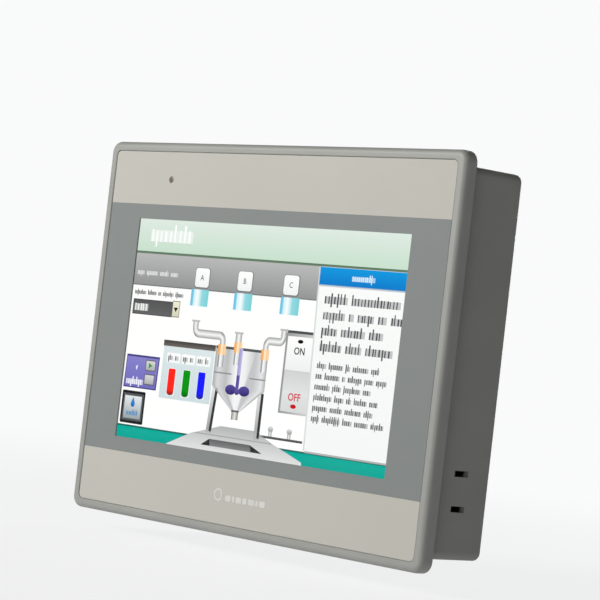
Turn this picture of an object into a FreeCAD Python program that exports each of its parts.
import FreeCAD, Part
import math
import os

# Panel-mount HMI touch panel, 7-inch class, as an assembly of separate pieces. Millimetres.
# Origin: middle of the seat plane, which is the rear face of the panel gasket.
# +X is to the operator's right, +Z is up, the screen faces -Y, the housing lies towards +Y.

V = FreeCAD.Vector

# ---- driving dimensions: outside ----
BEZEL_W = 200.4
BEZEL_H = 146.5
TOTAL_DEPTH = 34.0
FLANGE_DEPTH = 5.5
BEZEL_CORNER = 4.5
RIM_ROUND = 2.2
REAR_ROUND = 0.5
GASKET_PROUD = 0.8
GASKET_DEEP = 1.2
GASKET_BAND = 2.5

COVER_W = 191.2
COVER_H = 137.0
COVER_CORNER = 3.0
COVER_BACK_ROUND = 2.0
WALL = 2.2
GASKET_INNER_W = COVER_W + 1.4
GASKET_INNER_H = COVER_H + 1.4
SKIRT_GAP = 0.2
SKIRT_WALL = 1.8
INNER_CORNER = 1.0
OVERLAP = 0.5

# ---- levels along the depth ----
Y_FLANGE = -GASKET_PROUD
Y_RIM = Y_FLANGE - FLANGE_DEPTH
Y_REAR = Y_RIM + TOTAL_DEPTH
Y_REAR_IN = Y_REAR - WALL
FILM_SUNK = 0.3
FILM_T = 0.25
Y_FILM = Y_RIM + FILM_SUNK
Y_FILM_BACK = Y_FILM + FILM_T
FRONT_WALL = 2.5
Y_POCKET = Y_FILM_BACK + FRONT_WALL
Y_SKIRT_END = 5.0
Y_PLATE = 1.3
PLATE_T = 1.0
Y_PLATE_BACK = Y_PLATE + PLATE_T
Y_BOARD = 8.0
BOARD_T = 1.6
Y_PARTS = Y_BOARD + BOARD_T
Y_CABLE = Y_BOARD - 1.0

# ---- front film and touch sensor ----
FILM_W = 191.6
FILM_H = 138.8
FILM_CORNER = 2.0
FILM_GAP = 0.2
RIM_CHAMFER = 0.25
STACK_CORNER = 0.5
SENSOR_W = 165.0
SENSOR_H = 100.0
SENSOR_GAP = 0.5
TOUCH_FILM_T = 0.15
SPACER_T = 0.1
TOUCH_GLASS_T = 0.7
TAPE_T = 0.1
VIEW_W = 157.0
VIEW_H = 89.0
Y_SPACER = Y_FILM_BACK + TOUCH_FILM_T
Y_TOUCH_GLASS = Y_SPACER + SPACER_T
Y_TAPE = Y_TOUCH_GLASS + TOUCH_GLASS_T
Y_LCD = Y_TAPE + TAPE_T
TAIL_X = 54.0
TAIL_W = 8.0
TAIL_T = 0.15
TAIL_Z = -51.0
TAIL_RISE = 4.0
TAIL_NOTCH = 12.0
LED_X = -60.1
LED_Z = 58.7
LED_PIPE_R = 1.2
LED_PIPE_GAP = 0.1
PIPE_COLLAR_R = 2.2
PIPE_COLLAR_T = 1.0
LED_SIZE = (2.0, 1.4)
LED_REACH = 0.2
Y_LED = Y_BOARD - 1.5

# ---- display module ----
SHEET_METAL = 0.25
LCD_LIP = 0.2
CELL_STEP = 0.6
Y_CELL = Y_LCD + SHEET_METAL
Y_LCD_FRAME_END = -1.0
CELL_W = 160.0
CELL_H = 93.0
CELL_LEDGE = 3.0
CELL_GLASS_T = 0.65
Y_TRAY = Y_CELL + 2 * CELL_GLASS_T + 0.05
TRAY_DEPTH = 4.1
TRAY_FLOOR = 0.3
Y_TRAY_BACK = Y_TRAY + TRAY_DEPTH
Y_TRAY_FLOOR = Y_TRAY_BACK - TRAY_FLOOR
TRAY_GAP = 0.3
TRAY_FIT = 0.05
OPTIC_W = 159.0
OPTIC_H = 92.0
SHEET_T = 0.18
SHEET_PITCH = 0.2
SHEETS = 3
Y_GUIDE = Y_TRAY + SHEETS * SHEET_PITCH
REFLECTOR_T = 0.2
Y_REFLECTOR = Y_TRAY_FLOOR - REFLECTOR_T
LED_BAR_Z = -46.2
LED_BAR_W = 156.0
LED_BAR_T = 0.8
LED_CHIPS = 18
LED_CHIP_W = 3.0
LED_CHIP_H = 0.8
LED_CHIP_Y = (0.6, 2.4)
GUIDE_GAP = 0.1
DRIVER_W = 80.0
DRIVER_Z = (-48.0, -38.0)
DRIVER_T = 0.8
DRIVER_CHIP_X = (-30.0, 30.0)
DRIVER_CHIP = (8.0, 4.0, 1.0)
DRIVER_CHIP_Z = -44.5
RIBBON_W = 30.0
RIBBON_Z = (-46.0, -43.0, -36.5, -33.0)
WINDOW_X = 50.0
WINDOW_Z = (-50.0, -34.0)

# ---- fasteners: M3, drawn at the core of the thread ----
CORE_R = 1.2
TAP_R = 1.25
CLEAR_R = 1.7
HEAD_R = 2.75
CHASSIS_HEAD = 1.7
BOARD_HEAD = 1.8
COVER_HEAD = 2.2
CHASSIS_BOSS_R = 3.25
CHASSIS_SPOTS = [(40.0, 57.5), (-40.0, 57.5), (40.0, -57.5), (-40.0, -57.5), (86.8, 0.0), (-86.8, 0.0)]
COVER_BOSS_R = 4.0
COVER_SPOTS = [(86.0, 59.0), (-86.0, 59.0), (86.0, -59.0), (-86.0, -59.0)]
Y_COVER_BOSS = 7.0
TUBE_R = 4.5
COUNTERBORE_R = 3.3
TUBE_FLOOR = 2.0
STANDOFF_AF = 5.0
STANDOFF_SPOTS = [(76.0, 50.0), (-76.0, 50.0), (80.0, -42.0), (-80.0, -42.0)]
DRIVE_R = 1.1
DRIVE_DEEP = 1.0
LOBE_R = 0.35 * DRIVE_R
LOBE_OUT = 0.75 * DRIVE_R
LOBES = 6
HEAD_DOME = 0.45
CHASSIS_TIP = Y_POCKET + 0.5
BOARD_TIP = Y_PLATE_BACK + 0.7
COVER_TIP = -0.5
COVER_TAP_END = -1.0

# ---- chassis plate and main board ----
PLATE_HALF_W = 89.5
PLATE_HALF_H = 62.5
PLATE_CORNER = 2.0
TAIL_ROOM = 1.5
BOARD_HALF_W = 84.0
BOARD_Z = (-53.0, 62.0)
NOTCH_R = 5.5
BOSS_ROOM = 0.8
PLATE_HOLE = (24.0, 40.0, 4.0)
PLATE_HOLE_X = (-60.0, -20.0, 20.0, 60.0)
PLATE_HOLE_Z = 12.0

# ---- components on the main board ----
PROCESSOR_SPOT = (8.0, 6.0)
PROCESSOR_TIERS = ((17.0, 0.0, 0.3), (19.0, 0.3, 0.8), (15.0, 0.8, 1.9))
PROCESSOR_CORNER = 0.5
MEMORY_SPOTS = [(36.0, 14.0), (36.0, -4.0), (60.0, 10.0), (-16.0, -14.0)]
MEMORY_W = 10.0
MEMORY_H = 12.0
MEMORY_T = 1.3
LEAD_PITCH = 1.27
LEAD_COUNT = 8
LEAD_REACH = 1.0
LEAD_W = 0.4
MEMORY_LIFT = 0.1
INDUCTOR_SPOTS = [(-62.0, -8.0), (-44.0, -14.0)]
INDUCTOR_W = 10.0
INDUCTOR_T = 4.5
INDUCTOR_DISH = (3.6, 0.4)
INDUCTOR_CORNER = 2.0
CAPACITOR_SPOTS = [(-74.0, -24.0), (-64.0, -24.0), (-54.0, -26.0)]
CAPACITOR_BASE = (8.3, 1.2)
CAPACITOR_R = 4.0
CAPACITOR_H = 10.5
CAPACITOR_ROUND = 0.6
BATTERY_X = -45.0
BATTERY_Z = 30.0
BATTERY_R = 10.0
BATTERY_Y = (0.6, 3.5)
BATTERY_ROUND = 0.5
BATTERY_GAP = 0.1
HOLDER_WALL = 1.6
HOLDER_H = 3.4
CLIP_W = 6.0
CLIP_T = 0.6
CLIP_Y = 3.8
CLIP_REACH = 10.7
CLIP_FOOT = 0.9
CLIP_BITE = 0.4
FUSE_X = (-70.0, -50.0)
FUSE_Z = (-39.0, -34.0)
FUSE_BASE_T = 1.0
FUSE_R = 2.0
FUSE_L = 16.0
FUSE_AXIS_H = 3.4
FUSE_CLIP = (3.0, 2.8)
FUSE_CLIP_X = (-65.0, -55.0)
FUSE_CLIP_BITE = 0.1
SOCKET_H = 2.0
CABLE_SLIT = 0.24
DISPLAY_SOCKET_W = 34.0
DISPLAY_SOCKET_Z = (-35.0, -30.0)
DISPLAY_SLIT = (30.4, 2.1)
TOUCH_SOCKET_W = 12.0
TOUCH_SOCKET_Z = (2.2, 6.0)
TOUCH_SLIT = (8.4, 1.9)

# ---- connector bay in the rear cover, open downwards and to the rear ----
BAY_HALF_W = 78.0
BAY_WALL = 2.0
BAY_Y = 9.0
BAY_Z = -56.0
BAY_CEILING = BAY_Z + BAY_WALL
PORT_GAP = 0.2
Y_PORT_CUT = BAY_Y + 0.4

# ---- 24 V socket and its plug with three rising-cage terminals ----
POWER_X = -66.0
POWER_HALF_W = 8.9
POWER_H = 12.0
SOCKET_TOP = -44.0
SOCKET_WALL = 1.2
SOCKET_FLOOR = 2.0
POLE_PITCH = 5.08
PLUG_Y = (11.0, 23.0)
PLUG_Z = (-66.0, -56.2)
NOSE_GAP = 0.1
NOSE_TOP = -47.2
PIN = 1.0
PIN_Y = 15.25
PIN_END = -54.0
CAGE_HALF_W = 2.0
CAGE_WALL = 0.55
CAGE_Z = (-64.8, -60.2)
CAGE_Y = (12.1, 17.1)
CAGE_TOP_BAR = 1.4
CAGE_TRAVEL = 2.0
CHAMBER_GAP = 0.1
SCREW_R = 1.25
SCREW_HEAD_R = 1.9
SCREW_HEAD_Y = (20.6, 22.4)
SCREW_TIP_Y = 15.8
CONTACT_HALF_W = 1.3
CONTACT_Y = (14.9, 15.6)
CONTACT_BOX = 1.2
CONTACT_GRIP = 0.65
CONTACT_TRIM = 0.02
PLUG_CHAMFER = 0.5
SCREW_SLOT = (4.4, 0.6, 0.8)
SCREW_CHAMFER = 0.25
SCREW_GAP = 0.05
HEAD_BORE_GAP = 0.06
SHANK_BORE_GAP = 0.08
CONTACT_RISE = 0.2
CONTACT_LAP = 0.4

# ---- serial ports, nine-way D-sub ----
SERIAL_X = (-36.0, 2.0)
DSUB_FLANGE_W = 30.8
DSUB_H = 12.5
DSUB_FLANGE_T = 0.8
DSUB_END = -60.0
DSUB_TOP = -44.0
DSUB_W = 16.9
DSUB_SHELL_H = 8.3
DSUB_SHELL_T = 0.4
DSUB_LEAN = 10.0
DSUB_PIN_R = 0.5
DSUB_PIN_PITCH = 2.76
DSUB_ROW_GAP = 2.84
DSUB_SLEEVE = 0.08
DSUB_INSERT_W = 19.0
DSUB_INSERT_GAP = 0.05
DSUB_REACH = 0.9
DSUB_ROUND = 1 / 3.4
MALE_NOSE = BAY_Z + 0.5
FEMALE_NOSE = DSUB_END + 0.6
SLEEVE_GAP = 0.1
JACK_SPACING = 24.99
JACK_AF = 5.0
JACK_END = -61.0
JACK_BORE_R = 1.42
JACK_BORE_DEEP = 4.5
JACK_SHANK_R = 1.4
JACK_SHANK_TOP = -51.0
JACK_CLEAR_R = 1.6
DSUB_Y = Y_PARTS + DSUB_H / 2

# ---- network and USB ports ----
ETHERNET_X = 33.0
ETHERNET_W = 15.9
ETHERNET_H = 13.3
ETHERNET_Z = (-56.5, -38.0)
ETHERNET_SHELL = 0.25
JACK_W = 11.8
JACK_H = 8.2
JACK_FLOOR = 1.6
JACK_DEEP = 13.0
LATCH_W = 6.0
LATCH_ROOF = 0.8
JACK_CONTACTS = 8
JACK_CONTACT_PITCH = 1.02
JACK_CONTACT_W = 0.44
JACK_CONTACT_Y = (1.2, 2.4)
JACK_CONTACT_Z = (3.0, 13.2)
ETHERNET_SUNK = 0.3
CLIENT_X = 50.0
CLIENT_W = 7.7
CLIENT_H = 3.9
CLIENT_Z = (-56.5, -47.5)
HOST_X = 66.0
HOST_W = 13.1
HOST_H = 5.8
HOST_Z = (-57.0, -43.0)
CLIENT_CORNER = 1.2
HOST_CORNER = 0.4
LEAST_CORNER = 0.15
USB_SHELL = 0.35
USB_PLUG_DEEP = 3.0
TONGUE_SIDE = 1.3
TONGUE_Y = (-0.3, 0.9)
TONGUE_SUNK = 0.8

# ---- DIP switch and reset button in the rear well ----
WELL_X = (55.0, 86.0)
WELL_Z = (-38.0, -18.0)
WELL_WALL = 2.0
WELL_FLOOR_Y = (15.4, 17.4)
DIP_X = 66.0
DIP_Z = -28.0
DIP_W = 11.68
DIP_H = 6.6
DIP_TOP = 15.1
DIP_OPENING = (12.4, 7.4)
DIP_PITCH = 2.54
DIP_LEVERS = 4
DIP_CORNER = 0.3
LEVER_W = 1.1
LEVER_H = 1.6
LEVER_TOP = 15.9
LEVER_BOTTOM = 13.5
LEVER_TRAVEL = 1.6
LEVER_GAP = 0.05
LEVER_CHAMFER = 0.2
RESET_X = 78.0
RESET_BODY = 6.0
RESET_BODY_TOP = 13.1
RESET_R = 1.75
RESET_BORE_R = 1.8
RESET_Y = (12.4, 17.2)
RESET_TRAVEL = 0.4
RESET_HOLE_R = 2.1
RESET_CORNER = 0.5
RESET_ROUND = 0.3
RESET_GAP = 0.1

# ---- slots for the panel clamps, vents and label ----
CLAMP_Y = (9.6, 16.2)
CLAMP_SLOT = 2.1
CLAMP_PITCH = 12.4
CLAMP_SIDE_Z = -44.35
CLAMP_TOP_X = 60.0
VENT_W = 2.2
VENT_PITCH = 5.0
VENT_ROUND = 0.45 * VENT_W
TOP_WALL_Z = (COVER_H / 2 - WALL - 1, COVER_H / 2 + 1)
TOP_VENTS = 17
TOP_VENT_Y = (8.5, 21.5)
REAR_VENTS = 21
REAR_VENT_Z = (40.0, 56.0)
LABEL_W = 96.0
LABEL_H = 46.0
LABEL_X = -22.0
LABEL_Z = 2.0
LABEL_T = 0.2
LABEL_RECESS = 0.3
LABEL_MARGIN = 2.0
LABEL_CORNER = 1.5
RECESS_CORNER = 2.0


# ---- shapes ----
def block(x0, x1, y0, y1, z0, z1):
    return Part.makeBox(x1 - x0, y1 - y0, z1 - z0, V(x0, y0, z0))


def centred(width, height, y0, y1, x=0.0, z=0.0):
    """Sharp-cornered block facing Y, centred on (x, z)."""
    return block(x - width / 2, x + width / 2, y0, y1, z - height / 2, z + height / 2)


def plate(width, height, radius, y0, y1, x=0.0, z=0.0):
    """Rounded rectangle facing Y, centred on (x, z)."""
    body = centred(width, height, y0, y1, x, z)
    return body.makeFillet(radius, edges_along(body, V(0, 1, 0)))


def ring(outer, inner, y0, y1, outer_corner, inner_corner):
    """Rounded rectangular ring facing Y; outer and inner are (width, height)."""
    return plate(*outer, outer_corner, y0, y1).cut(plate(*inner, inner_corner, y0, y1))


def rod_y(radius, y0, y1, x, z):
    return Part.makeCylinder(radius, y1 - y0, V(x, y0, z), V(0, 1, 0))


def rod_z(radius, z0, z1, x, y):
    return Part.makeCylinder(radius, z1 - z0, V(x, y, z0), V(0, 0, 1))


def prism(points, travel):
    return Part.Face(Part.makePolygon(points + points[:1])).extrude(travel)


def hexagon(across_flats):
    corner = across_flats / math.sqrt(3)
    angles = [math.radians(60 * k) for k in range(6)]
    return [(corner * math.cos(a), corner * math.sin(a)) for a in angles]


def hex_y(across_flats, y0, y1, x, z):
    return prism([V(x + u, y0, z + w) for u, w in hexagon(across_flats)], V(0, y1 - y0, 0))


def hex_z(across_flats, z0, z1, x, y):
    return prism([V(x + u, y + w, z0) for u, w in hexagon(across_flats)], V(0, 0, z1 - z0))


def dee(width, height, z0, z1, x, y):
    """D-sub outline along Z with its wide side towards +Y."""
    half, rise = width / 2, height / 2
    narrow = half - height * math.tan(math.radians(DSUB_LEAN))
    outline = [(-narrow, -rise), (narrow, -rise), (half, rise), (-half, rise)]
    body = prism([V(x + u, y + w, z0) for u, w in outline], V(0, 0, z1 - z0))
    return body.makeFillet(height * DSUB_ROUND, edges_along(body, V(0, 0, 1)))


def strip(path, thickness, x0, x1):
    """Flat cable: a path of (y, z) points given a thickness, as wide as x0 to x1."""
    left, right = [], []
    for i, (y, z) in enumerate(path):
        before, after = path[max(i - 1, 0)], path[min(i + 1, len(path) - 1)]
        run = V(0, after[0] - before[0], after[1] - before[1]).normalize()
        left.append(V(x0, y - run.z * thickness / 2, z + run.y * thickness / 2))
        right.append(V(x0, y + run.z * thickness / 2, z - run.y * thickness / 2))
    return prism(left + right[::-1], V(x1 - x0, 0, 0))


def bend(y0, z0, y1, z1, steps=10):
    """Points of a soft S-bend that leaves and arrives along Z."""
    points = []
    for k in range(steps + 1):
        t = k / steps
        points.append((y0 + (y1 - y0) * t * t * (3 - 2 * t), z0 + (z1 - z0) * t))
    return points


def edges_along(shape, way):
    return [e for e in shape.Edges if abs(e.tangentAt(e.FirstParameter).dot(way)) > 0.99]


def edges_at(shape, y):
    return [e for e in shape.Edges if all(abs(v.Y - y) < 1e-6 for v in e.Vertexes)]


def inner_rim_edges(shape, y, width, height):
    def inside(v):
        return abs(v.X) < width / 2 + 0.01 and abs(v.Z) < height / 2 + 0.01

    return [e for e in edges_at(shape, y) if all(inside(v) for v in e.Vertexes)]


def pan_screw(x, z, seat, head, tip):
    """Pan-head screw along Y with a six-lobe drive, its head towards +Y."""
    body = rod_y(HEAD_R, seat, seat + head, x, z)
    body = body.makeFillet(HEAD_DOME * head, edges_at(body, seat + head))
    body = body.fuse(rod_y(CORE_R, tip, seat, x, z))
    lobe = rod_y(LOBE_R, 0, DRIVE_DEEP, LOBE_OUT, 0)
    drive = [lobe.rotated(V(0, 0, 0), V(0, 1, 0), 360 / LOBES * k) for k in range(LOBES)]
    drive.append(rod_y(LOBE_OUT, 0, DRIVE_DEEP, 0, 0))
    drive = [d.translated(V(x, seat + head - DRIVE_DEEP, z)) for d in drive]
    return body.cut(drive).removeSplitter()


# ---- front ----
def front_bezel():
    body = plate(BEZEL_W, BEZEL_H, BEZEL_CORNER, Y_RIM, Y_FLANGE)
    body = body.makeFillet(RIM_ROUND, edges_at(body, Y_RIM))
    body = body.makeFillet(REAR_ROUND, edges_at(body, Y_FLANGE))
    skirt_w = COVER_W - 2 * (WALL + SKIRT_GAP)
    skirt_h = COVER_H - 2 * (WALL + SKIRT_GAP)
    body = body.fuse(plate(skirt_w, skirt_h, INNER_CORNER, Y_FLANGE - OVERLAP, Y_SKIRT_END))
    recess_w = FILM_W + 2 * FILM_GAP
    recess_h = FILM_H + 2 * FILM_GAP
    tail_x = (TAIL_X - TAIL_NOTCH / 2, TAIL_X + TAIL_NOTCH / 2)
    body = body.cut([
        plate(recess_w, recess_h, FILM_CORNER + FILM_GAP, Y_RIM, Y_FILM_BACK),
        plate(SENSOR_W + 2 * SENSOR_GAP, SENSOR_H + 2 * SENSOR_GAP, INNER_CORNER, Y_FILM_BACK, Y_POCKET),
        block(*tail_x, Y_FILM_BACK, Y_POCKET, TAIL_Z - 1, -SENSOR_H / 2),
        plate(skirt_w - 2 * SKIRT_WALL, skirt_h - 2 * SKIRT_WALL, INNER_CORNER, Y_POCKET, Y_SKIRT_END),
        gasket_ring(Y_FLANGE - GASKET_DEEP, Y_FLANGE),
        rod_y(LED_PIPE_R + LED_PIPE_GAP, Y_FILM_BACK, Y_POCKET, LED_X, LED_Z),
    ])
    body = body.makeChamfer(RIM_CHAMFER, inner_rim_edges(body, Y_RIM, recess_w, recess_h))
    bosses = [rod_y(CHASSIS_BOSS_R, Y_POCKET - OVERLAP, Y_PLATE, x, z) for x, z in CHASSIS_SPOTS]
    bosses += [rod_y(COVER_BOSS_R, Y_POCKET - OVERLAP, Y_COVER_BOSS, x, z) for x, z in COVER_SPOTS]
    holes = [rod_y(TAP_R, Y_POCKET, Y_PLATE, x, z) for x, z in CHASSIS_SPOTS]
    holes += [rod_y(TAP_R, COVER_TAP_END, Y_COVER_BOSS, x, z) for x, z in COVER_SPOTS]
    return body.multiFuse(bosses).cut(holes).removeSplitter()


def gasket_ring(y0, y1):
    inner = (GASKET_INNER_W, GASKET_INNER_H)
    outer = (GASKET_INNER_W + 2 * GASKET_BAND, GASKET_INNER_H + 2 * GASKET_BAND)
    return ring(outer, inner, y0, y1, COVER_CORNER + GASKET_BAND, COVER_CORNER)


def panel_gasket():
    return gasket_ring(Y_FLANGE - GASKET_DEEP, 0.0)


def overlay_film():
    return plate(FILM_W, FILM_H, FILM_CORNER, Y_FILM, Y_FILM_BACK)


def status_led_lens():
    pipe = rod_y(LED_PIPE_R, Y_FILM_BACK, Y_LED - LED_REACH, LED_X, LED_Z)
    collar = rod_y(PIPE_COLLAR_R, Y_POCKET, Y_POCKET + PIPE_COLLAR_T, LED_X, LED_Z)
    return pipe.fuse(collar).removeSplitter()


def touch_film():
    return centred(SENSOR_W, SENSOR_H, Y_FILM_BACK, Y_SPACER)


def touch_spacer_frame():
    return ring((SENSOR_W, SENSOR_H), (VIEW_W, VIEW_H), Y_SPACER, Y_TOUCH_GLASS, STACK_CORNER, STACK_CORNER)


def touch_glass():
    return plate(SENSOR_W, SENSOR_H, STACK_CORNER, Y_TOUCH_GLASS, Y_TAPE)


def touch_tape_frame():
    return ring((SENSOR_W, SENSOR_H), (VIEW_W, VIEW_H), Y_TAPE, Y_LCD, STACK_CORNER, STACK_CORNER)


def touch_tail():
    """Flat tail that leaves the sensor at its foot, turns back and rises into its socket."""
    x0, x1 = TAIL_X - TAIL_W / 2, TAIL_X + TAIL_W / 2
    down = block(x0, x1, Y_FILM_BACK, Y_FILM_BACK + TAIL_T, TAIL_Z, -SENSOR_H / 2)
    back = block(x0, x1, Y_FILM_BACK, Y_CABLE + TAIL_T / 2, TAIL_Z - TAIL_T, TAIL_Z)
    up = block(x0, x1, Y_CABLE - TAIL_T / 2, Y_CABLE + TAIL_T / 2, TAIL_Z, TAIL_Z + TAIL_RISE)
    return down.multiFuse([back, up]).removeSplitter()


# ---- display module ----
def lcd_front_frame():
    body = centred(SENSOR_W, SENSOR_H, Y_LCD, Y_LCD_FRAME_END)
    inside = centred(SENSOR_W - 2 * SHEET_METAL, SENSOR_H - 2 * SHEET_METAL, Y_CELL, Y_LCD_FRAME_END)
    view = plate(VIEW_W - 2 * LCD_LIP, VIEW_H - 2 * LCD_LIP, STACK_CORNER, Y_LCD, Y_CELL)
    return body.cut([inside, view])


def lcd_cell():
    """Colour-filter glass over the longer array glass, whose ledge carries the row drivers."""
    y_mid = Y_CELL + CELL_GLASS_T
    low = -CELL_H / 2
    front = block(-CELL_W / 2, CELL_W / 2, Y_CELL, y_mid, low + CELL_LEDGE * CELL_STEP, CELL_H / 2)
    rear = block(-CELL_W / 2, CELL_W / 2, y_mid, y_mid + CELL_GLASS_T, low, CELL_H / 2)
    return Part.makeCompound([front, rear])


def optical_sheets():
    levels = [Y_TRAY + k * SHEET_PITCH for k in range(SHEETS)]
    return Part.makeCompound([centred(OPTIC_W, OPTIC_H, y, y + SHEET_T) for y in levels])


def light_guide():
    low = LED_BAR_Z + LED_BAR_T + LED_CHIP_H + GUIDE_GAP
    return block(-OPTIC_W / 2, OPTIC_W / 2, Y_GUIDE, Y_REFLECTOR, low, OPTIC_H / 2)


def reflector_sheet():
    return block(-OPTIC_W / 2, OPTIC_W / 2, Y_REFLECTOR, Y_TRAY_FLOOR, -OPTIC_H / 2 + 1, OPTIC_H / 2)


def backlight_led_bar():
    top = LED_BAR_Z + LED_BAR_T
    y_end = Y_REFLECTOR - GUIDE_GAP
    board = block(-LED_BAR_W / 2, LED_BAR_W / 2, Y_GUIDE, y_end, LED_BAR_Z, top)
    y0, y1 = (Y_GUIDE + y for y in LED_CHIP_Y)
    pitch = LED_BAR_W / LED_CHIPS
    centres = [-LED_BAR_W / 2 + pitch * (k + 0.5) for k in range(LED_CHIPS)]
    chips = [block(x - LED_CHIP_W / 2, x + LED_CHIP_W / 2, y0, y1, top, top + LED_CHIP_H) for x in centres]
    return board.multiFuse(chips).removeSplitter()


def lcd_back_tray():
    inset = 2 * (SHEET_METAL + TRAY_FIT)
    body = centred(SENSOR_W - inset, SENSOR_H - inset, Y_TRAY, Y_TRAY_BACK)
    return body.cut(centred(OPTIC_W + 2 * TRAY_GAP, OPTIC_H + 2 * TRAY_GAP, Y_TRAY, Y_TRAY_FLOOR))


def lcd_driver_board():
    y = Y_TRAY_BACK + DRIVER_T
    board = block(-DRIVER_W / 2, DRIVER_W / 2, Y_TRAY_BACK, y, *DRIVER_Z)
    width, height, thick = DRIVER_CHIP
    chips = [centred(width, height, y, y + thick, x, DRIVER_CHIP_Z) for x in DRIVER_CHIP_X]
    return board.multiFuse(chips).removeSplitter()


def lcd_ribbon():
    y_low = Y_TRAY_BACK + DRIVER_T + TAIL_T / 2
    foot, leave, arrive, top = RIBBON_Z
    path = [(y_low, foot)] + bend(y_low, leave, Y_CABLE, arrive) + [(Y_CABLE, top)]
    return strip(path, TAIL_T, -RIBBON_W / 2, RIBBON_W / 2)


# ---- chassis, board and fasteners ----
def chassis_plate():
    body = plate(2 * PLATE_HALF_W, 2 * PLATE_HALF_H, PLATE_CORNER, Y_PLATE, Y_PLATE_BACK)
    through = (Y_PLATE, Y_PLATE_BACK)
    window = (2 * WINDOW_X, WINDOW_Z[1] - WINDOW_Z[0])
    cuts = [rod_y(COVER_BOSS_R + BOSS_ROOM, *through, x, z) for x, z in COVER_SPOTS]
    cuts += [rod_y(CLEAR_R, *through, x, z) for x, z in CHASSIS_SPOTS]
    cuts += [plate(*PLATE_HOLE, *through, x, PLATE_HOLE_Z) for x in PLATE_HOLE_X]
    cuts.append(plate(*window, PLATE_CORNER, *through, 0, sum(WINDOW_Z) / 2))
    cuts.append(plate(TAIL_W + 2 * TAIL_ROOM, TAIL_RISE, INNER_CORNER, *through, TAIL_X, TAIL_Z))
    cuts.append(rod_y(LED_PIPE_R + BOSS_ROOM, *through, LED_X, LED_Z))
    return body.cut(cuts)


def chassis_screws():
    return Part.makeCompound(
        [pan_screw(x, z, Y_PLATE_BACK, CHASSIS_HEAD, CHASSIS_TIP) for x, z in CHASSIS_SPOTS]
    )


def board_standoffs():
    spacers = []
    for x, z in STANDOFF_SPOTS:
        post = hex_y(STANDOFF_AF, Y_PLATE_BACK, Y_BOARD, x, z)
        spacers.append(post.cut(rod_y(TAP_R, Y_PLATE_BACK, Y_BOARD, x, z)))
    return Part.makeCompound(spacers)


def board_screws():
    return Part.makeCompound(
        [pan_screw(x, z, Y_PARTS, BOARD_HEAD, BOARD_TIP) for x, z in STANDOFF_SPOTS]
    )


def main_board():
    body = block(-BOARD_HALF_W, BOARD_HALF_W, Y_BOARD, Y_PARTS, *BOARD_Z)
    cuts = [rod_y(NOTCH_R, Y_BOARD, Y_PARTS, x, z) for x, z in COVER_SPOTS]
    cuts += [rod_y(CLEAR_R, Y_BOARD, Y_PARTS, x, z) for x, z in STANDOFF_SPOTS]
    return body.cut(cuts)


def processor():
    tiers = [plate(size, size, PROCESSOR_CORNER, Y_PARTS + y0, Y_PARTS + y1, *PROCESSOR_SPOT)
             for size, y0, y1 in PROCESSOR_TIERS]
    return tiers[0].multiFuse(tiers[1:]).removeSplitter()


def memory_chip(x, z):
    """Plastic package with gull-wing leads along its two upright sides."""
    body = centred(MEMORY_W, MEMORY_H, Y_PARTS + MEMORY_LIFT, Y_PARTS + MEMORY_T, x, z)
    rows = [z + (k - (LEAD_COUNT - 1) / 2) * LEAD_PITCH for k in range(LEAD_COUNT)]
    span = MEMORY_W + 2 * LEAD_REACH
    leads = [centred(span, LEAD_W, Y_PARTS, Y_PARTS + LEAD_W, x, row) for row in rows]
    return body.multiFuse(leads).removeSplitter()


def memory_chips():
    return Part.makeCompound([memory_chip(x, z) for x, z in MEMORY_SPOTS])


def power_inductors():
    top = Y_PARTS + INDUCTOR_T
    radius, deep = INDUCTOR_DISH
    coils = []
    for x, z in INDUCTOR_SPOTS:
        can = plate(INDUCTOR_W, INDUCTOR_W, INDUCTOR_CORNER, Y_PARTS, top, x, z)
        coils.append(can.cut(rod_y(radius, top - deep, top, x, z)))
    return Part.makeCompound(coils)


def filter_capacitors():
    side, thick = CAPACITOR_BASE
    cans = []
    for x, z in CAPACITOR_SPOTS:
        base = plate(side, side, INNER_CORNER, Y_PARTS, Y_PARTS + thick, x, z)
        can = rod_y(CAPACITOR_R, Y_PARTS + thick, Y_PARTS + CAPACITOR_H, x, z)
        can = can.makeFillet(CAPACITOR_ROUND, edges_at(can, Y_PARTS + CAPACITOR_H))
        cans.append(base.fuse(can).removeSplitter())
    return Part.makeCompound(cans)


def battery_holder():
    """Round tray with a spring clip across the coin cell."""
    y_floor = Y_PARTS + BATTERY_Y[0]
    y_top = Y_PARTS + HOLDER_H
    body = rod_y(BATTERY_R + HOLDER_WALL, Y_PARTS, y_top, BATTERY_X, BATTERY_Z)
    body = body.cut(rod_y(BATTERY_R + BATTERY_GAP, y_floor, y_top, BATTERY_X, BATTERY_Z))
    y_clip = Y_PARTS + CLIP_Y
    y_spring = y_clip + CLIP_T
    clip = centred(CLIP_W, 2 * CLIP_REACH, y_clip, y_spring, BATTERY_X, BATTERY_Z)
    feet = [BATTERY_Z + side * (BATTERY_R + HOLDER_WALL / 2) for side in (-1, 1)]
    ends = [centred(CLIP_W, CLIP_FOOT, y_top - CLIP_BITE, y_spring, BATTERY_X, z) for z in feet]
    return body.multiFuse([clip] + ends).removeSplitter()


def coin_cell():
    y0, y1 = (Y_PARTS + y for y in BATTERY_Y)
    can = rod_y(BATTERY_R, y0, y1, BATTERY_X, BATTERY_Z)
    return can.makeFillet(BATTERY_ROUND, edges_at(can, y1))


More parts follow.
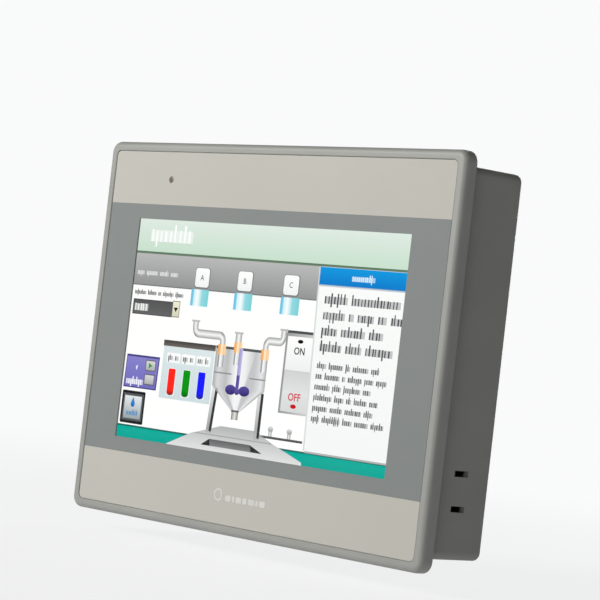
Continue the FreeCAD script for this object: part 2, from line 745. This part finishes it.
def input_fuse():
    z = sum(FUSE_Z) / 2
    y_axis = Y_PARTS + FUSE_AXIS_H
    base = block(*FUSE_X, Y_PARTS, Y_PARTS + FUSE_BASE_T, *FUSE_Z)
    tube = Part.makeCylinder(FUSE_R, FUSE_L, V(sum(FUSE_X) / 2 - FUSE_L / 2, y_axis, z), V(1, 0, 0))
    y_clip = Y_PARTS + FUSE_BASE_T - FUSE_CLIP_BITE
    clips = [centred(*FUSE_CLIP, y_clip, y_axis, x, z) for x in FUSE_CLIP_X]
    return base.multiFuse([tube] + clips).removeSplitter()


def ribbon_socket(x, width, z0, z1, slit_w, slit_deep):
    """Socket under the board, with the slit for its flat cable open towards -Z."""
    body = block(x - width / 2, x + width / 2, Y_BOARD - SOCKET_H, Y_BOARD, z0, z1)
    slit = block(x - slit_w / 2, x + slit_w / 2, Y_CABLE - CABLE_SLIT / 2, Y_CABLE + CABLE_SLIT / 2,
                 z0, z0 + slit_deep)
    return body.cut(slit)


def ribbon_sockets():
    touch_z = [TAIL_Z + z for z in TOUCH_SOCKET_Z]
    return Part.makeCompound([
        ribbon_socket(0.0, DISPLAY_SOCKET_W, *DISPLAY_SOCKET_Z, *DISPLAY_SLIT),
        ribbon_socket(TAIL_X, TOUCH_SOCKET_W, *touch_z, *TOUCH_SLIT),
    ])


def status_led():
    return centred(*LED_SIZE, Y_LED, Y_BOARD, LED_X, LED_Z)


# ---- serial, network and USB ports ----
def dsub_pins(x, female):
    """Two rows, five pins in the wide row and four in the narrow one."""
    radius = DSUB_PIN_R + (DSUB_SLEEVE if female else 0.0)
    low = DSUB_END + DSUB_REACH
    rows = [(5, DSUB_ROW_GAP / 2), (4, -DSUB_ROW_GAP / 2)]
    pins = []
    for count, dy in rows:
        for k in range(count):
            px = x + (k - (count - 1) / 2) * DSUB_PIN_PITCH
            pins.append(rod_z(radius, low, BAY_CEILING, px, DSUB_Y + dy))
    return pins


def jack_spots():
    return [(x + side * JACK_SPACING / 2, DSUB_Y) for x in SERIAL_X for side in (-1, 1)]


def serial_port_shells():
    top = BAY_CEILING + DSUB_FLANGE_T
    ports = []
    for x in SERIAL_X:
        x0, x1 = x - DSUB_FLANGE_W / 2, x + DSUB_FLANGE_W / 2
        flange = block(x0, x1, Y_PARTS, Y_PARTS + DSUB_H, BAY_CEILING, top)
        shell = dee(DSUB_W, DSUB_SHELL_H, DSUB_END, BAY_CEILING, x, DSUB_Y)
        hollow = dee(DSUB_W - 2 * DSUB_SHELL_T, DSUB_SHELL_H - 2 * DSUB_SHELL_T, DSUB_END, top, x, DSUB_Y)
        holes = [rod_z(JACK_CLEAR_R, BAY_CEILING, top, *spot) for spot in jack_spots()]
        ports.append(flange.fuse(shell).cut([hollow] + holes).removeSplitter())
    return Part.makeCompound(ports)


def serial_port_inserts():
    """Insulators: the left port's holds pins, the right port's fills its shell and holds sleeves."""
    rear_z = BAY_CEILING + DSUB_FLANGE_T
    gap = DSUB_SHELL_T + DSUB_INSERT_GAP
    bodies = []
    for x, female in zip(SERIAL_X, (False, True)):
        reach = FEMALE_NOSE if female else MALE_NOSE
        x0, x1 = x - DSUB_INSERT_W / 2, x + DSUB_INSERT_W / 2
        rear = block(x0, x1, Y_PARTS, Y_PARTS + DSUB_H, rear_z, DSUB_TOP)
        nose = dee(DSUB_W - 2 * gap, DSUB_SHELL_H - 2 * gap, reach, rear_z, x, DSUB_Y)
        holes = dsub_pins(x, female)
        if female:
            spots = [(hole.CenterOfMass.x, hole.CenterOfMass.y) for hole in holes]
            holes = [rod_z(DSUB_PIN_R + SLEEVE_GAP, reach, reach + JACK_BORE_DEEP, *spot) for spot in spots]
        bodies.append(rear.fuse(nose).cut(holes).removeSplitter())
    return Part.makeCompound(bodies)


def connector_pins():
    """Pins of the male serial port and the three pins of the 24 V socket."""
    pins = dsub_pins(SERIAL_X[0], False)
    y0, y1 = PIN_Y - PIN / 2, PIN_Y + PIN / 2
    for x in pole_centres():
        pins.append(block(x - PIN / 2, x + PIN / 2, y0, y1, PIN_END, SOCKET_TOP - SOCKET_FLOOR))
    return Part.makeCompound(pins)


def jack_screws():
    screws = []
    for x, y in jack_spots():
        head = hex_z(JACK_AF, JACK_END, BAY_Z, x, y)
        screw = head.fuse(rod_z(JACK_SHANK_R, BAY_Z, JACK_SHANK_TOP, x, y))
        screws.append(screw.cut(rod_z(JACK_BORE_R, JACK_END, JACK_END + JACK_BORE_DEEP, x, y)))
    return Part.makeCompound(screws)


def ethernet_block(inset, z0, z1):
    half = ETHERNET_W / 2 - inset
    y0, y1 = Y_PARTS + inset, Y_PARTS + ETHERNET_H - inset
    return block(ETHERNET_X - half, ETHERNET_X + half, y0, y1, z0, z1)


def ethernet_port():
    shell = ethernet_block(0.0, *ETHERNET_Z)
    return shell.cut(ethernet_block(ETHERNET_SHELL, ETHERNET_Z[0], ETHERNET_Z[1] - ETHERNET_SHELL))


def ethernet_insert():
    """Insulator with the plug's mouth, the room for its latch and eight contacts."""
    y0 = Y_PARTS + ETHERNET_SHELL
    y_mouth = y0 + JACK_FLOOR
    y_latch = Y_PARTS + ETHERNET_H - ETHERNET_SHELL - LATCH_ROOF
    z0 = ETHERNET_Z[0] + ETHERNET_SUNK
    body = ethernet_block(ETHERNET_SHELL, z0, ETHERNET_Z[1] - ETHERNET_SHELL)
    y_step = y_mouth + JACK_H
    z1 = z0 + JACK_DEEP
    mouth = block(ETHERNET_X - JACK_W / 2, ETHERNET_X + JACK_W / 2, y_mouth, y_step, z0, z1)
    latch = block(ETHERNET_X - LATCH_W / 2, ETHERNET_X + LATCH_W / 2, y_step, y_latch, z0, z1)
    contact_y = [y0 + y for y in JACK_CONTACT_Y]
    contact_z = [z0 + z for z in JACK_CONTACT_Z]
    contacts = []
    for k in range(JACK_CONTACTS):
        x = ETHERNET_X + (k - (JACK_CONTACTS - 1) / 2) * JACK_CONTACT_PITCH
        contacts.append(block(x - JACK_CONTACT_W / 2, x + JACK_CONTACT_W / 2, *contact_y, *contact_z))
    return body.cut([mouth, latch]).multiFuse(contacts).removeSplitter()


def usb_spots():
    return [
        (CLIENT_X, CLIENT_W, CLIENT_H, CLIENT_Z, CLIENT_CORNER),
        (HOST_X, HOST_W, HOST_H, HOST_Z, HOST_CORNER),
    ]


def port_tube(x, width, height, corner, z0, z1):
    """Rounded block along Z that stands on the board."""
    body = block(x - width / 2, x + width / 2, Y_PARTS, Y_PARTS + height, z0, z1)
    return body.makeFillet(corner, edges_along(body, V(0, 0, 1)))


def port_hollow(x, width, height, corner, z0, z1):
    """What is inside the shell of a port_tube."""
    inner = max(corner - USB_SHELL, LEAST_CORNER)
    hollow = port_tube(x, width - 2 * USB_SHELL, height - 2 * USB_SHELL, inner, z0, z1)
    return hollow.translated(V(0, USB_SHELL, 0))


def usb_port_shells():
    shells = []
    for x, width, height, (z0, z1), corner in usb_spots():
        outer = port_tube(x, width, height, corner, z0, z1)
        shells.append(outer.cut(port_hollow(x, width, height, corner, z0, z1 - USB_SHELL)))
    return Part.makeCompound(shells)


def usb_port_tongues():
    tongues = []
    for x, width, height, (z0, z1), corner in usb_spots():
        rear = z1 - USB_SHELL
        plug = port_hollow(x, width, height, corner, rear - USB_PLUG_DEEP, rear)
        half = width / 2 - TONGUE_SIDE
        y0, y1 = (Y_PARTS + height / 2 + y for y in TONGUE_Y)
        tongue = block(x - half, x + half, y0, y1, z0 + TONGUE_SUNK, rear)
        tongues.append(plug.fuse(tongue).removeSplitter())
    return Part.makeCompound(tongues)


# ---- 24 V socket and plug ----
def pole_centres():
    return [POWER_X + k * POLE_PITCH for k in (-1, 0, 1)]


def power_block(inset, z0, z1):
    half = POWER_HALF_W - inset
    return block(POWER_X - half, POWER_X + half, Y_PARTS + inset, Y_PARTS + POWER_H - inset, z0, z1)


def power_socket():
    hollow = power_block(SOCKET_WALL, BAY_Z, SOCKET_TOP - SOCKET_FLOOR)
    return power_block(0.0, BAY_Z, SOCKET_TOP).cut(hollow)


def cage_centre_z():
    return sum(CAGE_Z) / 2


def power_plug():
    """Plug body: a head with three screw chambers and a nose that fills the socket."""
    head = block(POWER_X - POWER_HALF_W, POWER_X + POWER_HALF_W, *PLUG_Y, *PLUG_Z)
    head = head.makeChamfer(PLUG_CHAMFER, edges_at(head, PLUG_Y[1]))
    nose = power_block(SOCKET_WALL + NOSE_GAP, PLUG_Z[1] - OVERLAP, NOSE_TOP)
    half_chamber = CAGE_HALF_W + CHAMBER_GAP
    chamber_y = (CAGE_Y[0] - CHAMBER_GAP, CAGE_Y[1] + CAGE_TRAVEL + CHAMBER_GAP)
    chamber_z = (PLUG_Z[0], CAGE_Z[1] + CHAMBER_GAP)
    z = cage_centre_z()
    cuts = []
    for x in pole_centres():
        cuts.append(block(x - half_chamber, x + half_chamber, *chamber_y, *chamber_z))
        cuts.append(rod_y(SCREW_HEAD_R + HEAD_BORE_GAP, SCREW_HEAD_Y[0] - CHAMBER_GAP, PLUG_Y[1], x, z))
        cuts.append(rod_y(SCREW_R + SHANK_BORE_GAP, chamber_y[1] - CHAMBER_GAP, PLUG_Y[1], x, z))
        cuts.append(contact_envelope(x, 0.0))
    return head.fuse(nose).cut(cuts).removeSplitter()


def contact_envelope(x, trim):
    """Room for one contact: a flat bar that passes through the cage, then a box around the pin."""
    half = CONTACT_HALF_W - trim
    side = CONTACT_BOX - trim
    z_turn = PLUG_Z[1]
    bar_y = (CONTACT_Y[0] + trim, CONTACT_Y[1] - trim)
    bar = block(x - half, x + half, *bar_y, CAGE_Z[0] + CONTACT_RISE, z_turn)
    box = block(x - side, x + side, PIN_Y - side, PIN_Y + side, z_turn - CONTACT_LAP, NOSE_TOP)
    return bar.fuse(box)


def plug_contacts():
    contacts = []
    for x in pole_centres():
        x0, x1 = x - CONTACT_GRIP, x + CONTACT_GRIP
        y0, y1 = PIN_Y - CONTACT_GRIP, PIN_Y + CONTACT_GRIP
        grip = block(x0, x1, y0, y1, PLUG_Z[1] + CONTACT_LAP, NOSE_TOP)
        contacts.append(contact_envelope(x, CONTACT_TRIM).cut(grip).removeSplitter())
    return Part.makeCompound(contacts)


def terminal_screw(x):
    z = cage_centre_z()
    head = rod_y(SCREW_HEAD_R, *SCREW_HEAD_Y, x, z)
    head = head.makeChamfer(SCREW_CHAMFER, edges_at(head, SCREW_HEAD_Y[1]))
    shank = rod_y(SCREW_R, SCREW_TIP_Y, SCREW_HEAD_Y[0], x, z)
    long, wide, deep = SCREW_SLOT
    slot = centred(long, wide, SCREW_HEAD_Y[1] - deep, SCREW_HEAD_Y[1], x, z)
    return head.fuse(shank).cut(slot).removeSplitter()


def terminal_clamp(x):
    body = block(x - CAGE_HALF_W, x + CAGE_HALF_W, *CAGE_Y, *CAGE_Z)
    inner = CAGE_HALF_W - CAGE_WALL
    window = block(x - inner, x + inner, CAGE_Y[0] + CAGE_WALL, CAGE_Y[1] - CAGE_TOP_BAR, *CAGE_Z)
    thread = rod_y(SCREW_R + SCREW_GAP, CAGE_Y[1] - CAGE_TOP_BAR, CAGE_Y[1], x, cage_centre_z())
    return body.cut([window, thread])


# ---- DIP switch and reset ----
def lever_centres():
    return [DIP_X + (k - (DIP_LEVERS - 1) / 2) * DIP_PITCH for k in range(DIP_LEVERS)]


def dip_switch_body():
    body = plate(DIP_W, DIP_H, DIP_CORNER, Y_PARTS, DIP_TOP, DIP_X, DIP_Z)
    width = LEVER_W + 2 * LEVER_GAP
    height = LEVER_H + LEVER_TRAVEL + 4 * LEVER_GAP
    low = LEVER_BOTTOM - 2 * LEVER_GAP
    return body.cut([centred(width, height, low, DIP_TOP, x, DIP_Z) for x in lever_centres()])


def dip_lever(x):
    low = DIP_Z - (LEVER_H + LEVER_TRAVEL) / 2
    body = block(x - LEVER_W / 2, x + LEVER_W / 2, LEVER_BOTTOM, LEVER_TOP, low, low + LEVER_H)
    return body.makeChamfer(LEVER_CHAMFER, edges_at(body, LEVER_TOP))


def reset_switch_body():
    body = plate(RESET_BODY, RESET_BODY, RESET_CORNER, Y_PARTS, RESET_BODY_TOP, RESET_X, DIP_Z)
    y_floor = RESET_Y[0] - RESET_TRAVEL - RESET_GAP
    return body.cut(rod_y(RESET_BORE_R, y_floor, RESET_BODY_TOP, RESET_X, DIP_Z))


def reset_button():
    body = rod_y(RESET_R, *RESET_Y, RESET_X, DIP_Z)
    return body.makeFillet(RESET_ROUND, edges_at(body, RESET_Y[1]))


# ---- rear cover ----
def port_cuts():
    """Openings for the connectors in the ceiling wall of the bay."""
    z0, z1 = BAY_Z, BAY_CEILING
    square_ports = [
        (POWER_X, 2 * POWER_HALF_W, POWER_H),
        (ETHERNET_X, ETHERNET_W, ETHERNET_H),
        (CLIENT_X, CLIENT_W, CLIENT_H),
        (HOST_X, HOST_W, HOST_H),
    ]
    cuts = [dee(DSUB_W + 2 * PORT_GAP, DSUB_SHELL_H + 2 * PORT_GAP, z0, z1, x, DSUB_Y) for x in SERIAL_X]
    cuts += [rod_z(JACK_CLEAR_R, z0, z1, x, y) for x, y in jack_spots()]
    for x, width, height in square_ports:
        half = width / 2 + PORT_GAP
        cuts.append(block(x - half, x + half, Y_PORT_CUT, Y_PARTS + height + PORT_GAP, z0, z1))
    return cuts


def clamp_cuts():
    """Paired slots for the panel clamps: one pair low on each side, two pairs in the top wall."""
    cuts = []
    for step in (-CLAMP_PITCH / 2, CLAMP_PITCH / 2):
        z = CLAMP_SIDE_Z + step
        for x in (-COVER_W / 2 - 1, COVER_W / 2 - WALL - 1):
            cuts.append(block(x, x + WALL + 2, *CLAMP_Y, z - CLAMP_SLOT / 2, z + CLAMP_SLOT / 2))
        for side in (-CLAMP_TOP_X, CLAMP_TOP_X):
            x = side + step
            cuts.append(block(x - CLAMP_SLOT / 2, x + CLAMP_SLOT / 2, *CLAMP_Y, *TOP_WALL_Z))
    return cuts


def vent_cuts():
    cuts = []
    for k in range(TOP_VENTS):
        x = (k - (TOP_VENTS - 1) / 2) * VENT_PITCH
        cuts.append(block(x - VENT_W / 2, x + VENT_W / 2, *TOP_VENT_Y, *TOP_WALL_Z))
    height = REAR_VENT_Z[1] - REAR_VENT_Z[0]
    z = sum(REAR_VENT_Z) / 2
    for k in range(REAR_VENTS):
        x = (k - (REAR_VENTS - 1) / 2) * VENT_PITCH
        cuts.append(plate(VENT_W, height, VENT_ROUND, Y_REAR_IN - 1, Y_REAR + 1, x, z))
    return cuts


def rear_cover():
    body = plate(COVER_W, COVER_H, COVER_CORNER, Y_FLANGE, Y_REAR)
    body = body.makeFillet(COVER_BACK_ROUND, edges_at(body, Y_REAR))
    body = body.cut(plate(COVER_W - 2 * WALL, COVER_H - 2 * WALL, INNER_CORNER, Y_FLANGE, Y_REAR_IN))
    bay_side = BAY_HALF_W + BAY_WALL
    bay_bottom = -COVER_H / 2
    y_join = Y_REAR_IN + OVERLAP
    y_out = Y_REAR + 1
    walls = [
        block(-bay_side, bay_side, BAY_Y - BAY_WALL, y_join, bay_bottom + OVERLAP, BAY_CEILING),
        block(*WELL_X, WELL_FLOOR_Y[0], y_join, *WELL_Z),
    ]
    walls += [rod_y(TUBE_R, Y_COVER_BOSS, y_join, x, z) for x, z in COVER_SPOTS]
    body = body.multiFuse(walls).removeSplitter()
    well_x = (WELL_X[0] + WELL_WALL, WELL_X[1] - WELL_WALL)
    well_z = (WELL_Z[0] + WELL_WALL, WELL_Z[1] - WELL_WALL)
    label = (LABEL_W + 2 * LABEL_MARGIN, LABEL_H + 2 * LABEL_MARGIN)
    cuts = [
        block(-BAY_HALF_W, BAY_HALF_W, BAY_Y, y_out, bay_bottom - 1, BAY_Z),
        block(*well_x, WELL_FLOOR_Y[1], y_out, *well_z),
        centred(*DIP_OPENING, *WELL_FLOOR_Y, DIP_X, DIP_Z),
        rod_y(RESET_HOLE_R, *WELL_FLOOR_Y, RESET_X, DIP_Z),
        plate(*label, RECESS_CORNER, Y_REAR - LABEL_RECESS, y_out, LABEL_X, LABEL_Z),
    ]
    for x, z in COVER_SPOTS:
        cuts.append(rod_y(COUNTERBORE_R, Y_COVER_BOSS + TUBE_FLOOR, y_out, x, z))
        cuts.append(rod_y(CLEAR_R, Y_COVER_BOSS, Y_COVER_BOSS + TUBE_FLOOR, x, z))
    return body.cut(cuts + port_cuts() + clamp_cuts() + vent_cuts()).removeSplitter()


def cover_screws():
    seat = Y_COVER_BOSS + TUBE_FLOOR
    return Part.makeCompound([pan_screw(x, z, seat, COVER_HEAD, COVER_TIP) for x, z in COVER_SPOTS])


def rating_label():
    y = Y_REAR - LABEL_RECESS
    return plate(LABEL_W, LABEL_H, LABEL_CORNER, y, y + LABEL_T, LABEL_X, LABEL_Z)


SINGLE_NODES = [
    front_bezel, panel_gasket, overlay_film, status_led_lens, touch_film, touch_spacer_frame, touch_glass,
    touch_tail, touch_tape_frame, lcd_front_frame, lcd_cell, optical_sheets, light_guide, reflector_sheet,
    backlight_led_bar, lcd_back_tray, lcd_driver_board, lcd_ribbon, chassis_plate, chassis_screws,
    board_standoffs, main_board, board_screws, processor, memory_chips, power_inductors, filter_capacitors,
    battery_holder, coin_cell, input_fuse, ribbon_sockets, status_led, serial_port_shells,
    serial_port_inserts, connector_pins, jack_screws, ethernet_port, ethernet_insert, usb_port_shells,
    usb_port_tongues, power_socket, power_plug, plug_contacts, dip_switch_body, reset_switch_body,
    reset_button, rear_cover, cover_screws, rating_label,
]


def all_nodes():
    nodes = {make.__name__: make() for make in SINGLE_NODES}
    for number, x in enumerate(pole_centres(), 1):
        nodes[f"terminal_screw_{number}"] = terminal_screw(x)
        nodes[f"terminal_clamp_{number}"] = terminal_clamp(x)
    for number, x in enumerate(lever_centres(), 1):
        nodes[f"dip_lever_{number}"] = dip_lever(x)
    return nodes


os.makedirs("parts", exist_ok=True)
for name, shape in all_nodes().items():
    shape.exportStep(f"parts/{name}.step")
